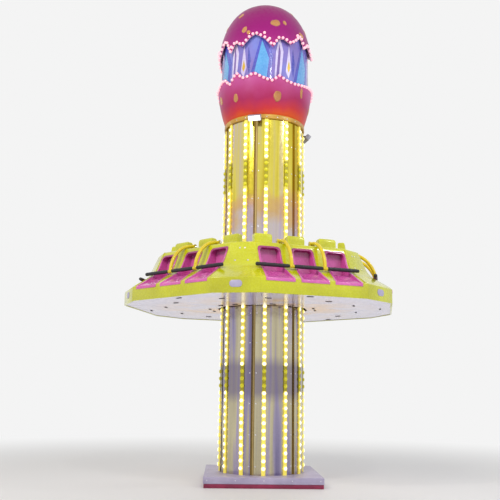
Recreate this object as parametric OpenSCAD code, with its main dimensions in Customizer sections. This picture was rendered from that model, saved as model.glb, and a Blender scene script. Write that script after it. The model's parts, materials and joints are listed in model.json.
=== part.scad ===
// Family drop tower: a mirror-clad column with lamp strips on a low plinth, a six-sided
// gondola of bucket seats that climbs and turns on it, and a cracked egg finial on top.
// Z is up, the origin lies on the column's axis at floor level, and the front faces -Y.

/* [Column] */
// Radius of the mirror cladding
clad_r = 740; // [700:5:760]
// Sheet thickness of the mirror cladding
clad_t = 8; // [4:1:12]
// Outside radius of the steel mast inside the cladding
mast_r = 612; // [590:2:620]
// Wall thickness of the mast
mast_t = 14; // [8:1:30]
// Height at which the cladding ends and the egg begins
column_top = 6600; // [6500:10:6800]
// Number of lamp strips round the column
strips = 12; // [12:6:12]
// Width of a lamp strip's channel
strip_w = 66; // [50:2:80]
// How far a lamp strip stands off the cladding
strip_d = 16; // [10:1:24]
// Width of the open slots that the guide rails run in
slot_w = 66; // [64:1:80]
// Angle of the first guide slot, from the front
slot_turn = -15; // [-15:5:15]
// Thickness of a guide rail's blade
rail_t = 16; // [12:1:18]
// Depth of a guide rail's blade
rail_d = 84; // [70:2:90]
// Width of the bars that hold a guide rail on the mast
rail_foot = 58; // [44:2:60]

/* [Plinth] */
// Side of the square plinth
plinth_w = 2000; // [1900:20:2200]
// Height of the plinth's top above the floor
plinth_h = 175; // [150:5:220]
// Sheet thickness of the plinth cover
plinth_t = 16; // [14:1:24]
// Height of the recessed kick strip under the plinth
kick_h = 68; // [50:2:80]
// How far the kick strip is set back from the plinth's edge
kick_in = 8; // [2:1:12]
// Width of the kick strip's own section
kick_w = 60; // [40:5:80]

/* [Egg finial] */
// Greatest radius of the egg
egg_r = 930; // [900:5:960]
// Height of the egg's widest level above the column
egg_mid = 1000; // [960:10:1050]
// Rise of the dome from the widest level to its top
egg_rise = 1480; // [1450:10:1550]
// Half-length of the lower ellipse that the bottom shell follows
egg_fall = 1712; // [1680:2:1800]
// Wall thickness of both shells
shell_t = 15; // [10:1:18]
// How far the blue band lies inside the egg's greatest radius
band_in = 88; // [86:1:110]
// Wall thickness of the band
band_t = 12; // [8:1:20]
// Height of the band
band_h = 1080; // [1060:5:1090]
// Height of the band's foot above the column
band_z = 590; // [560:10:600]

/* [Gondola] */
// Distance from the axis to a long face of the skirt
skirt_u = 2360; // [2300:10:2400]
// Distance from the axis to a corner face of the skirt
corner_u = 2505; // [2470:5:2540]
// Height of the skirt's lower edge above the floor, as parked
gondola_z = 3045; // [2950:5:3250]
// Height of the skirt
skirt_h = 255; // [245:5:280]
// Wall thickness of the yellow mouldings
wall = 30; // [24:1:36]
// Angle by which the gondola is turned on the column
gondola_turn = 17.5; // [0:0.5:59]
// Height of the backrests above the skirt's lower edge
back_h = 915; // [900:5:940]
// Distance from the axis to the rear wall of a bench
rear_u = 1400; // [1380:5:1410]
// Half-length of a bench between its end walls
bench_a = 790; // [788:1:794]
// Half-length of a bench where it meets the skirt
bench_front = 880; // [870:2:890]
// Slope of the ribs that rise from the rim between the seats
rib_slope = 33; // [30:1:36]
// How much further than the skirt's corners the corner pylons lean out
pylon_lean = 20; // [10:2:26]
// Distance from the axis to the flats of the opening round the column
eye_u = 812; // [805:1:830]
// Running and fitting clearance between neighbouring pieces
fit = 0.3; // [0.2:0.1:0.5]

/* [Seats] */
// Spacing of the seats along a bench
seat_pitch = 585; // [580:1:586]
// Width of a seat recess at the backrest
seat_w = 370; // [350:5:375]
// Width of a seat recess at the skirt
seat_front_w = 460; // [440:5:480]
// Wall thickness of the pink seat shells
seat_t = 20; // [16:1:22]
// How far a seat's lip stands proud of the moulding
lip_t = 6; // [3:1:8]
// How far a seat's lip reaches over the moulding
lip_w = 12; // [8:1:14]
// How far a recess ends below the top of the backrest
seat_drop = 88; // [80:2:100]
// Width of a headrest
head_w = 310; // [290:5:340]
// Height of the headrests above the backrest
head_h = 190; // [160:5:210]
// Depth of a headrest from front to rear
head_t = 130; // [100:5:150]
// Distance from the axis to the front of a headrest
head_u = 1575; // [1560:5:1590]
// Corner radius of a headrest
head_round = 40; // [30:5:80]

/* [Lap bars] */
// Distance from the axis to a closed lap bar
bar_u = 2090; // [2080:2:2110]
// Height of a closed lap bar above the skirt's lower edge
bar_z = 485; // [480:1:500]
// Length of a lap bar
bar_l = 1800; // [1740:10:1840]
// Diameter of the foam on a lap bar
pad_d = 62; // [56:1:66]
// Diameter of the steel rod inside the foam
rod_d = 34; // [28:1:40]
// Diameter of the curved arms
arm_d = 60; // [50:1:62]
// Distance from the axis to a lap bar's pivot
pivot_u = 1560; // [1550:2:1570]
// Height of a lap bar's pivot above the backrest
pivot_h = 74; // [72:1:84]
// Diameter of a pivot pin
pin_d = 24; // [18:1:28]

/* [Carriage] */
// Distance from the axis to the inner flats of the carriage's rings
carriage_r = 800; // [795:1:806]
// Radial thickness of the carriage's rings
carriage_t = 50; // [40:2:52]
// Height of the carriage
carriage_h = 760; // [700:10:765]
// Width of a guide shoe
shoe_w = 52; // [50:1:54]
// Length of a guide shoe along its rail
shoe_l = 180; // [140:5:220]
// Running clearance between a shoe and its rail
shoe_play = 0.6; // [0.4:0.1:0.9]

/* [Hidden] */
$fn = 96;

yellow = "#C8C41E";
pink = "#C2509A";
magenta = "#B02A8A";
mirror_grey = "#C9C6D6";
lavender = "#B9B0CC";
steel_grey = "#4A4A52";

slots = 6;
sides = 6;
side_angle = 360 / sides;
slot_angle = 360 / slots;
ring_parts = 12;
part_angle = 360 / ring_parts;
egg_z = column_top + egg_mid;
band_r = egg_r - band_in;
// Cuts reach this far past the faces that they open
eps = 1;
// Pieces of one weld or casting reach this far into each other
weld = 4;

// Gondola heights and the widths of its long and corner faces
skirt_top = gondola_z + skirt_h;
back_top = gondola_z + back_h;
pivot_z = back_top + pivot_h;
lap_z = gondola_z + bar_z;
half_side = side_angle / 2;
mitre = tan(side_angle / 4);
cut_back = skirt_u / cos(half_side) - corner_u;
corner_w = 2 * cut_back / tan(half_side);
face_w = 2 * skirt_u * tan(half_side) - 2 * cut_back / sin(half_side);

// Points of a circular arc and of a parabola between two tangents
function arc(c, r, a0, a1, n = 8) =
    [for (i = [0 : n]) let (a = a0 + (a1 - a0) * i / n) c + r * [cos(a), sin(a)]];
function curve(p, q, s, n = 8) =
    [for (i = [0 : n]) let (t = i / n) (1 - t) * (1 - t) * p + 2 * t * (1 - t) * q + t * t * s];
function reversed(v) = [for (i = [len(v) - 1 : -1 : 0]) v[i]];
function mirrored(v) = [for (p = reversed(v)) [-p[0], p[1]]];

// A line moved sideways by d, to the left of its direction
function beside(v, d) = [for (i = [0 : len(v) - 1])
    let (a = v[max(i - 1, 0)], b = v[min(i + 1, len(v) - 1)], t = (b - a) / norm(b - a))
    v[i] + d * [-t[1], t[0]]];

// The area between a line and the height z
function under(v, z) = concat([[v[0][0], z]], v, [[v[len(v) - 1][0], z]]);

// Turns a piece drawn facing +Y so that it faces the given angle, measured from the front
module facing(a) { rotate([0, 0, 180 + a]) children(); }

// Draws an outline given as distance from the axis and height, and extends it sideways
module across(w) { rotate([90, 0, 90]) translate([0, 0, -w / 2]) linear_extrude(w) children(); }

// Draws an outline given as sideways distance and height, and extends it from the axis outwards
module outwards(u0, u1) { translate([0, u1, 0]) rotate([90, 0, 0]) linear_extrude(u1 - u0) children(); }

module ring(r_out, r_in, h) {
    difference() {
        cylinder(r = r_out, h = h);
        translate([0, 0, -eps]) cylinder(r = r_in, h = h + 2 * eps);
    }
}

// One straight segment of a twelve-sided ring, mitred at both ends
module ring_part(u_in, u_out, h, gap = fit) {
    linear_extrude(h) polygon([for (p = [[-1, u_in], [1, u_in], [1, u_out], [-1, u_out]])
        [p[0] * (p[1] * tan(part_angle / 2) - gap / 2), p[1]]]);
}

module frame_ring(u_in, u_out, h, turn) {
    for (k = [0 : ring_parts - 1]) facing(turn + k * part_angle) ring_part(u_in, u_out, h);
}

// Plinth

module base_plinth() {
    side = plinth_w - 2 * plinth_t;
    color(lavender) difference() {
        translate([-plinth_w / 2, -plinth_w / 2, kick_h]) cube([plinth_w, plinth_w, plinth_h - kick_h]);
        translate([-side / 2, -side / 2, kick_h - eps]) cube([side, side, plinth_h - kick_h - plinth_t + eps]);
        cylinder(r = mast_r + fit, h = plinth_h + eps);
    }
}

// Four bars, mitred at the corners
module base_kick_strip() {
    w = plinth_w / 2 - kick_in;
    color("#8E2E4E") for (k = [0 : 3]) rotate([0, 0, k * 90]) linear_extrude(kick_h)
        polygon([[fit - w, -w], [w - fit, -w], [w - kick_w - fit, kick_w - w], [kick_w + fit - w, kick_w - w]]);
}

// Column

cap_t = 15;
foot_t = 30;
foot_out = 160;
gusset_t = 14;
gusset_w = 140;
gusset_gap = 4;
mast_h = column_top - cap_t;

module column_mast() {
    color("#55555C") {
        ring(mast_r + foot_out, mast_r - mast_t, foot_t);
        translate([0, 0, foot_t - fit]) ring(mast_r, mast_r - mast_t, mast_h - foot_t + fit);
        for (k = [0 : slots - 1]) facing(slot_turn + slot_angle / 2 + k * slot_angle)
            across(gusset_t) polygon([[mast_r - weld, foot_t - weld], [mast_r + gusset_w, foot_t - weld],
                [mast_r - weld, plinth_h - plinth_t - gusset_gap]]);
    }
}

foot_bar_t = 10;

// A guide rail is a blade between two bars on the mast
module guide_rails() {
    bar_w = (rail_foot - rail_t) / 2 - fit;
    h = mast_h - plinth_h - fit;
    color("#6A5A48") for (k = [0 : slots - 1]) facing(slot_turn + k * slot_angle)
        translate([0, mast_r, plinth_h]) {
            translate([-rail_t / 2, 0, 0]) cube([rail_t, rail_d, h]);
            for (x = [-rail_foot / 2, rail_t / 2 + fit]) translate([x, 0, 0]) cube([bar_w, foot_bar_t, h]);
        }
}

// A point on the edge of the slot at the given angle, on the side s, at distance r along the slot
function slot_edge(a, s, r) = let (x = s * slot_w / 2) [-x * cos(a) - r * sin(a), -x * sin(a) + r * cos(a)];

// The edge of a cladding panel is folded back to the mast
module fold(a, s, h) {
    u = sqrt(pow(mast_r + fit, 2) - pow(slot_w / 2, 2));
    rotate([0, 0, a]) translate([s > 0 ? -slot_w / 2 - clad_t : slot_w / 2 - eps, u, -eps])
        cube([clad_t + eps, clad_r - clad_t / 2 - u, h + 2 * eps]);
}

// One cladding panel spans from slot to slot
module mirror_panels() {
    h = mast_h - plinth_h - fit;
    near = mast_r - slot_w;
    far = clad_r + slot_w;
    mid_far = far / pow(cos(slot_angle / 2), 2) * [-sin(slot_angle / 2), cos(slot_angle / 2)];
    color(mirror_grey) for (k = [0 : slots - 1]) facing(slot_turn + k * slot_angle)
        translate([0, 0, plinth_h]) intersection() {
            union() {
                translate([0, 0, -eps]) ring(clad_r, clad_r - clad_t, h + 2 * eps);
                fold(0, 1, h);
                fold(slot_angle, -1, h);
            }
            linear_extrude(h) polygon([slot_edge(0, 1, near), slot_edge(0, 1, far), mid_far,
                slot_edge(slot_angle, -1, far), slot_edge(slot_angle, -1, near)]);
        }
}

collar_h = 70;
collar_d = 34;
collar_r = clad_r + collar_d;
strip_top = mast_h - collar_h - fit;

module lamp_strips() {
    color("#D8D090") for (k = [0 : strips - 1]) facing(k * 360 / strips)
        translate([-strip_w / 2, clad_r + fit, plinth_h]) cube([strip_w, strip_d, strip_top - plinth_h]);
}

module column_head() {
    color("#8C8478") {
        translate([0, 0, mast_h]) cylinder(r = collar_r, h = cap_t);
        translate([0, 0, mast_h - collar_h]) ring(collar_r, clad_r + fit, collar_h + weld);
    }
}

flood_w = 240;
flood_h = 105;
flood_d = 90;
flood_edge = 10;
lens_in = 14;
flood_tilt = 35;
flood_out = 60;
bracket_w = 60;
bracket_t = 16;
bracket_lap = 20;

// A lamp housing with an open front, on an arm from the collar
module floodlights() {
    collar_u = sqrt(pow(collar_r, 2) - pow(bracket_w / 2, 2)) + 2 * fit;
    color("#E8E8EC") for (k = [0 : 2]) facing(slot_turn + k * 120) {
        translate([-bracket_w / 2, collar_u, column_top - collar_h])
            cube([bracket_w, flood_out + bracket_lap, bracket_t]);
        translate([0, collar_u + flood_out, column_top - collar_h - flood_edge]) rotate([-flood_tilt, 0, 0])
            difference() {
                translate([-flood_w / 2, 0, -flood_h / 2]) cube([flood_w, flood_d, flood_h]);
                translate([flood_edge - flood_w / 2, flood_d - lens_in, flood_edge - flood_h / 2])
                    cube([flood_w - 2 * flood_edge, lens_in + eps, flood_h - 2 * flood_edge]);
            }
    }
}

// Egg: both shells follow one outline, ragged where they cracked apart.
// Each rim point is an angle from the front and a height above the column.

dome_n = 2.5;
function dome_r(z, a, h) = a * pow(1 - pow((z - egg_z) / h, dome_n), 1 / dome_n);
function bowl_r(z, a) = a * sqrt(1 - pow((egg_z - z) / egg_fall, 2));

upper_rim = [[-170, 1290], [-156, 1540], [-143, 1400], [-129, 1560], [-114, 1270], [-101, 1420], [-88, 1550],
    [-76, 1290], [-63, 1558], [-55, 1480], [-48, 1250], [-41, 1440], [-31, 1315], [-22, 1470], [-15, 1545],
    [-3, 1420], [6, 1260], [13, 1440], [20, 1450], [29, 1375], [37, 1490], [46, 1625], [51, 1385], [61, 1545],
    [76, 1330], [90, 1470], [104, 1600], [119, 1280], [133, 1500], [148, 1390], [161, 1580], [176, 1430]];
lower_rim = [[-166, 690], [-150, 830], [-136, 660], [-121, 780], [-107, 650], [-93, 790], [-80, 690], [-67, 770],
    [-58, 795], [-49, 653], [-38, 843], [-32, 737], [-27, 700], [-16, 782], [-7, 700], [0, 655], [6, 634],
    [14, 740], [22, 670], [33, 637], [47, 663], [62, 700], [80, 725], [94, 640], [107, 810], [121, 700],
    [134, 780], [148, 650], [161, 760], [175, 640]];

crack_gap = 5;
crack_far = 40;

// Takes away all that lies beyond a ragged rim, one flat wedge for each straight stretch of it
module crack(rim, z_far) {
    n = len(rim);
    far_r = egg_r + crack_far;
    for (i = [0 : n - 1]) {
        p = rim[i];
        q = rim[(i + 1) % n];
        span = (q[0] - p[0] + 360) % 360;
        half = far_r * tan(span / 2);
        facing(p[0] + span / 2) translate([0, 0, column_top]) outwards(band_r + crack_gap, far_r)
            polygon([[half, p[1]], [-half, q[1]], [-half, z_far], [half, z_far]]);
    }
}

ledge_w = 34;
ledge_t = 14;
foot_ledge_w = 120;
bowl_h = 900;
dome_foot = 1230;

// Ledges inside the bowl stand on the column and carry the band
module egg_lower_shell() {
    n = 10;
    heights = [for (i = [0 : n]) column_top + bowl_h * i / n];
    foot_r = bowl_r(column_top, egg_r);
    seat_z = column_top + band_z - ledge_t;
    color(magenta) {
        difference() {
            rotate_extrude() polygon(concat([for (z = heights) [bowl_r(z, egg_r), z]],
                [for (z = reversed(heights)) [bowl_r(z, egg_r - shell_t), z]]));
            crack(lower_rim, bowl_h + crack_far);
        }
        translate([0, 0, seat_z]) ring(bowl_r(seat_z, egg_r - shell_t) + weld, band_r - ledge_w, ledge_t);
        translate([0, 0, column_top]) ring(foot_r - shell_t + weld, foot_r - foot_ledge_w, ledge_t);
    }
}

module egg_band() {
    color("#5A6FC8") translate([0, 0, column_top + band_z]) ring(band_r, band_r - band_t, band_h);
}

// Points of the dome at one radius and rise, closer together near the top
function dome_line(a, h, n = 16) = let (z0 = column_top + dome_foot, zt = egg_z + h)
    [for (i = [0 : n]) let (z = z0 + (zt - z0) * (1 - pow(1 - i / n, 1.9))) [i == n ? 0 : dome_r(z, a, h), z]];

module egg_upper_shell() {
    seat_z = column_top + band_z + band_h;
    color(magenta) {
        difference() {
            rotate_extrude() polygon(concat(dome_line(egg_r, egg_rise),
                reversed(dome_line(egg_r - shell_t, egg_rise - shell_t))));
            crack(upper_rim, dome_foot - crack_far);
        }
        translate([0, 0, seat_z])
            ring(dome_r(seat_z, egg_r - shell_t, egg_rise - shell_t) + weld, band_r - ledge_w, ledge_t);
    }
}

// Carriage: two rings, a bearing flange and six posts, with shoes that run on the rails

frame_h = 80;
post_w = 80;
carriage_z = gondola_z + 60;
flange_t = 24;
flange_z = carriage_z + frame_h + fit;
flange_r = 960;
bearing_r = 900;
post_z = flange_z + flange_t + fit;

module lift_frame() {
    top_z = carriage_z + carriage_h - frame_h;
    color(steel_grey) {
        for (z = [carriage_z, top_z]) translate([0, 0, z])
            frame_ring(carriage_r, carriage_r + carriage_t, frame_h, slot_turn);
        for (k = [0 : ring_parts - 1]) facing(slot_turn + k * part_angle) translate([0, 0, flange_z])
            intersection() {
                ring_part(carriage_r, flange_r + 60, flange_t);
                translate([0, 0, -eps]) cylinder(r = flange_r, h = flange_t + 2 * eps);
            }
        for (k = [0 : slots - 1]) facing(slot_turn + k * slot_angle)
            translate([-post_w / 2, carriage_r, post_z]) cube([post_w, carriage_t, top_z - fit - post_z]);
    }
}

shoe_in = 24;
shoe_end = 10;
// A shoe's flat outer end lies against the inner flats of the carriage
shoe_u = carriage_r - fit;

// A shoe is a block at the end of the rail's blade with a cheek on either side of it
module guide_shoes() {
    block_u = mast_r + rail_d + shoe_play;
    cheek_w = (shoe_w - rail_t) / 2 - shoe_play;
    cheek_u = mast_r + shoe_in;
    color("#2E2E33")
        for (k = [0 : slots - 1], z = [carriage_z + shoe_end, carriage_z + carriage_h - shoe_end - shoe_l])
            facing(slot_turn + k * slot_angle) translate([0, 0, z]) {
                translate([-shoe_w / 2, block_u, 0]) cube([shoe_w, shoe_u - block_u, shoe_l]);
                for (x = [-shoe_w / 2, shoe_w / 2 - cheek_w]) translate([x, cheek_u, 0])
                    cube([cheek_w, block_u - fit - cheek_u, shoe_l]);
            }
}

// Gondola frame

slew_z = flange_z + flange_t + fit;
slew_t = 36;
hub_z = slew_z + slew_t + fit;
hub_u = 975;
hub_h = 70;
leg_w = 90;
beam_w = 90;
beam_h = 90;
panel_t = 12;
panel_z = gondola_z + 8;
panel_gap = 5;
beam_z = panel_z + panel_t + fit;
deck_z = gondola_z + 845;
deck_t = 14;

// The slewing ring is bolted together from arc segments
module slew_ring() {
    color("#77777E") for (k = [0 : ring_parts - 1]) facing(gondola_turn + k * part_angle)
        translate([0, 0, slew_z]) intersection() {
            ring_part(bearing_r - 60, flange_r + 60, slew_t);
            translate([0, 0, -eps]) ring(flange_r, bearing_r, slew_t + 2 * eps);
        }
}

// Two rings joined by posts, with a leg and a beam under each bench and an arm to its rear wall
module hub_frame() {
    top_z = deck_z - fit - hub_h;
    leg_u = hub_u + fit;
    beam_u = leg_u + leg_w + fit;
    color("#5C5C64") {
        for (z = [hub_z, top_z]) translate([0, 0, z]) frame_ring(bearing_r, hub_u, hub_h, gondola_turn);
        for (k = [0 : sides - 1]) facing(gondola_turn + k * side_angle) translate([-beam_w / 2, 0, 0]) {
            translate([0, bearing_r + fit, hub_z + hub_h + fit])
                cube([beam_w, hub_u - bearing_r - 2 * fit, top_z - hub_z - hub_h - 2 * fit]);
            translate([0, leg_u, beam_z]) cube([beam_w, leg_w, hub_z + hub_h - beam_z]);
            translate([0, beam_u, beam_z]) cube([beam_w, skirt_u - wall - fit - beam_u, beam_h]);
            translate([0, leg_u, top_z]) cube([beam_w, rear_u - fit - leg_u, hub_h]);
        }
    }
}

// A flat panel from the opening round the column to an outer edge at u, 2 * x wide, or to a peak
module deck_panel(t, gap, x, u, peak = []) {
    x_eye = eye_u * tan(part_angle / 2) - gap / 2;
    linear_extrude(t) polygon(concat([[gap / 2 - x, u], [-x_eye, eye_u], [x_eye, eye_u], [x - gap / 2, u]], peak));
}

module underside_panels() {
    inset = wall + fit;
    color("#C9C2DA") translate([0, 0, panel_z]) for (k = [0 : sides - 1]) {
        facing(gondola_turn + k * side_angle)
            deck_panel(panel_t, panel_gap, face_w / 2 - inset * mitre, skirt_u - inset);
        facing(gondola_turn + half_side + k * side_angle)
            deck_panel(panel_t, panel_gap, corner_w / 2 - inset * mitre, corner_u - inset);
    }
}

latch_w = 120;
latch_d = 40;
// Each spot is a sideways distance and a distance from the axis
latch_spots = [[-540, 1700], [540, 1700], [0, 2150], [-170, 960], [170, 960]];

module underside_latches() {
    latch_t = panel_z - gondola_z - fit;
    end_x = (latch_w - latch_d) / 2;
    color("#1C1C20") for (k = [0 : sides - 1], p = latch_spots) facing(gondola_turn + k * side_angle)
        translate([p[0], p[1], gondola_z]) {
            translate([-end_x, -latch_d / 2, 0]) cube([2 * end_x, latch_d, latch_t]);
            for (s = [-1, 1]) translate([s * end_x, 0, 0]) cylinder(d = latch_d, h = latch_t, $fn = 32);
        }
}

module top_deck() {
    u = rear_u - fit;
    x = u * tan(part_angle / 2);
    color("#8F8F98") translate([0, 0, deck_z]) for (k = [0 : sides - 1]) {
        facing(gondola_turn + k * side_angle) deck_panel(deck_t, fit, x, u);
        facing(gondola_turn + half_side + k * side_angle)
            deck_panel(deck_t, fit, x, u, [[0, u / cos(half_side)]]);
    }
}

// Benches: the mouldings follow one side line, given as distance from the axis and height

skirt_round = 28;
bench_foot = gondola_z + 190;
splay_u = 1800;
rim_line = arc([skirt_u - skirt_round, skirt_top - skirt_round], skirt_round, 0, 90 - rib_slope, 5);
rib_line = concat(
    curve([skirt_u - 300, skirt_top + 180], [skirt_u - 395, skirt_top + 241], [skirt_u - 455, skirt_top + 370]),
    curve([skirt_u - 560, back_top - 50], [skirt_u - 572, back_top], [skirt_u - 620, back_top], 5));
lap_line = concat(rim_line, rib_line);
bench_line = concat(lap_line, [[rear_u, back_top]]);

// Half of a bench's outline from above, from its rear wall to the distance u, drawn in by e
function bench_side(e, u) = [[bench_a - e, rear_u + e], [bench_a - e, splay_u], [bench_front - e, u]];
function bench_plan(e, u) = concat(bench_side(e, u), mirrored(bench_side(e, u)));

// The part of the skirt on one face, cut to its mitres at both ends
module skirt_board(line, u, w) {
    x = w / 2 - fit / 2;
    intersection() {
        across(w + 100) polygon(under(line, gondola_z));
        translate([0, 0, gondola_z]) linear_extrude(skirt_h + wall)
            polygon([[-x, u], [x, u], [x - wall * mitre, u - wall], [wall * mitre - x, u - wall]]);
    }
}

head_sink = 10;
head_fall = 120;
head_crown = 45;

// A headrest block with rounded upper corners, whose front leans back towards its top
module headrest() {
    foot = back_top - head_sink;
    top = back_top + head_h;
    rear = head_u - head_t;
    x = head_w / 2;
    corner = arc([x - head_round, top - head_round], head_round, 0, 90, 6);
    intersection() {
        outwards(rear, head_u) polygon(concat([[-x, foot], [x, foot]], corner, mirrored(corner)));
        across(head_w + 10) polygon(concat([[rear, foot], [head_u, foot]],
            curve([head_u, top - head_fall], [head_u, top], [head_u - head_crown, top]),
            curve([rear + head_crown, top], [rear, top], [rear, top - head_crown], 4)));
    }
}

module bench(k) {
    inner = concat([[skirt_u - wall, skirt_top - skirt_round]], beside(rib_line, wall),
        [[rear_u + wall, back_top - wall]]);
    color(yellow) facing(gondola_turn + k * side_angle) difference() {
        union() {
            intersection() {
                across(face_w) polygon(under(bench_line, bench_foot));
                translate([0, 0, gondola_z]) linear_extrude(back_h + eps)
                    polygon(bench_plan(0, skirt_u - wall + eps));
            }
            skirt_board(lap_line, skirt_u, face_w);
            for (x = seat_spots) translate([x, 0, 0]) headrest();
        }
        intersection() {
            across(face_w) polygon(under(inner, bench_foot - eps));
            translate([0, 0, gondola_z]) linear_extrude(back_h) polygon(bench_plan(wall, skirt_u - wall));
        }
        for (x = seat_spots) translate([x, 0, 0]) recess(0, seat_t + fit);
    }
}

// Seats: a pink bucket shell in each of a bench's three recesses

lip_round = 24;
lip_z = skirt_top - 30;
pan_slope = 25;
seat_spots = [-seat_pitch, 0, seat_pitch];
seat_line = concat(
    arc([skirt_u - lip_round, lip_z], lip_round, 0, 90 - pan_slope, 4),
    curve([skirt_u - 280, skirt_top + 118], [skirt_u - 400, skirt_top + 186], [skirt_u - 480, skirt_top + 150]),
    curve([skirt_u - 520, skirt_top + 132], [skirt_u - 580, skirt_top + 110], [skirt_u - 598, skirt_top + 240]),
    curve([skirt_u - 630, back_top - 190], [skirt_u - 642, back_top - seat_drop - 4],
        [skirt_u - 588, back_top - seat_drop], 6));

// Seen from above a recess widens between these two distances from the skirt's face
flare_in = 440;
flare_out = 260;
// Seen from the front it narrows between these two heights above the skirt
shoulder_low = 250;
shoulder_high = 330;
recess_low = 62;
recess_round = 60;

// The outlines of one recess from above and from the front, drawn in by the inset
module recess_outline(inset) {
    w = seat_w / 2 - inset;
    v = seat_front_w / 2 - inset;
    top = back_top - seat_drop - inset;
    low = skirt_top - recess_low;
    flare = concat(curve([w, skirt_u - flare_in], [w, skirt_u - flare_out], [v, skirt_u - wall], 6),
        [[v, skirt_u + wall]]);
    shoulder = concat([[v, low], [v, skirt_top + shoulder_low], [w, skirt_top + shoulder_high]],
        arc([w - recess_round, top - recess_round], recess_round, 0, 90, 6));
    intersection() {
        translate([0, 0, low]) linear_extrude(back_top - low)
            polygon(concat([[w, rear_u]], flare, mirrored(flare), [[-w, rear_u]]));
        outwards(rear_u, skirt_u + wall) polygon(concat(shoulder, mirrored(shoulder)));
    }
}

// The space above a seat's surface when that is lowered by the drop
module recess(inset, drop) {
    intersection() {
        recess_outline(inset);
        across(seat_front_w + 2 * wall) polygon(concat([[skirt_u + 2 * wall, lip_z - drop]], beside(seat_line, drop),
            [[skirt_u - 480, back_top - 50], [skirt_u + 2 * wall, back_top - 50]]));
    }
}

// A shell lines its recess, and its lip lies on the moulding all round
module seats(k) {
    color(pink) facing(gondola_turn + k * side_angle) for (x = seat_spots) translate([x, 0, 0])
        difference() {
            intersection() {
                union() {
                    recess(fit, seat_t);
                    difference() {
                        recess_outline(-lip_w);
                        across(seat_front_w + 2 * wall) polygon(under(beside(bench_line, -fit), gondola_z));
                    }
                }
                across(seat_front_w + 2 * wall) polygon(under(beside(bench_line, -lip_t), gondola_z));
            }
            recess(seat_t + fit, 0);
        }
}

// Corner pylons: between two benches the moulding follows both of their lines and its own

pylon_in = rear_u / cos(half_side);
pylon_foot = skirt_top - 40;
pylon_line = [for (p = lap_line)
    p + [corner_u - skirt_u + pylon_lean * max(0, p[1] - skirt_top) / (back_top - skirt_top), 0]];

// A point at sideways distance b and distance u in front of a bench, as seen from the next corner
function at_corner(b, u) =
    [u * sin(half_side) - b * cos(half_side), b * sin(half_side) + u * cos(half_side)];

module pylon() {
    b = bench_a + fit;
    u0 = (pylon_in - b * sin(half_side)) / cos(half_side);
    side = [at_corner(b, u0), at_corner(b, splay_u), at_corner(bench_front + fit, skirt_u - wall - fit),
        [corner_w / 2 - wall * mitre - 2 * fit, corner_u - wall]];
    intersection() {
        translate([0, 0, pylon_foot]) linear_extrude(back_top - pylon_foot)
            polygon(concat(side, mirrored(side)));
        across(corner_w + 600) polygon(under(concat(pylon_line, [[pylon_in - 100, back_top]]), gondola_z));
        for (s = [-1, 1]) rotate([0, 0, s * half_side])
            across(4 * bench_a) polygon(under(concat(lap_line, [[rear_u - 100, back_top]]), gondola_z));
    }
}

module corner_pylons() {
    color(yellow) for (k = [0 : sides - 1]) facing(gondola_turn + half_side + k * side_angle) {
        pylon();
        skirt_board(pylon_line, corner_u, corner_w);
    }
}

badge_w = 200;
badge_h = 110;
badge_t = 6;

module corner_badges() {
    end_x = (badge_w - badge_h) / 2;
    color("#B8B4C8") for (k = [0 : sides - 1]) facing(gondola_turn + half_side + k * side_angle)
        translate([0, corner_u + badge_t, gondola_z + skirt_h * 0.55]) rotate([90, 0, 0]) {
            translate([-end_x, -badge_h / 2, 0]) cube([2 * end_x, badge_h, badge_t]);
            for (s = [-1, 1]) translate([s * end_x, 0, 0]) cylinder(d = badge_h, h = badge_t);
        }
}

// Lap bars: each swings on two pivots between the headrests

arm_x = seat_pitch / 2;
arm_fall = pivot_z - lap_z;
arm_reach = bar_u - pivot_u;
hub_w = 60;
hub_d = 72;
hub_play = 2;
ear_t = 12;
ear_w = 80;
pin_end = 6;
sleeve_w = 76;
sleeve_d = 58;
rod_end = 12;
// An arm is one arc that leaves the pivot level and ends at the bar
arm_chord = norm([arm_reach, arm_fall]);
arm_turn = 2 * atan(arm_fall / arm_reach);
arm_bend = arm_chord / (2 * sin(arm_turn / 2));

// A cylinder that lies sideways, from x0 to x1 at distance u and height z
module crossbar(d, x0, x1, u, z) { translate([x0, u, z]) rotate([0, 90, 0]) cylinder(d = d, h = x1 - x0); }

module arm() {
    translate([0, pivot_u, pivot_z - arm_bend]) rotate([90, 0, 90]) rotate([0, 0, 90 - arm_turn])
        rotate_extrude(angle = arm_turn) translate([arm_bend, 0]) circle(d = arm_d);
}

module bar_arms(k) {
    rod_x = bar_l / 2 - rod_end;
    color("#E0C41A") facing(gondola_turn + k * side_angle) difference() {
        union() {
            for (x = [-arm_x, arm_x]) {
                translate([x, 0, 0]) arm();
                crossbar(hub_d, x - hub_w / 2, x + hub_w / 2, pivot_u, pivot_z);
                crossbar(sleeve_d, x - sleeve_w / 2, x + sleeve_w / 2, bar_u, lap_z);
            }
            crossbar(rod_d, -rod_x, rod_x, bar_u, lap_z);
        }
        for (x = [-arm_x, arm_x]) crossbar(pin_d + 2 * fit, x - hub_w, x + hub_w, pivot_u, pivot_z);
    }
}

// A length of foam on the rod, closed over the rod's end
module pad_piece(x0, x1) {
    rod_x = bar_l / 2 - rod_end;
    difference() {
        crossbar(pad_d, x0, x1, bar_u, lap_z);
        crossbar(rod_d + 2 * fit, max(x0 - eps, -rod_x - fit), min(x1 + eps, rod_x + fit), bar_u, lap_z);
    }
}

module bar_pad(k) {
    inner = arm_x - sleeve_w / 2 - fit;
    outer = arm_x + sleeve_w / 2 + fit;
    color("#17171A") facing(gondola_turn + k * side_angle) {
        pad_piece(-bar_l / 2, -outer);
        pad_piece(-inner, inner);
        pad_piece(outer, bar_l / 2);
    }
}

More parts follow.
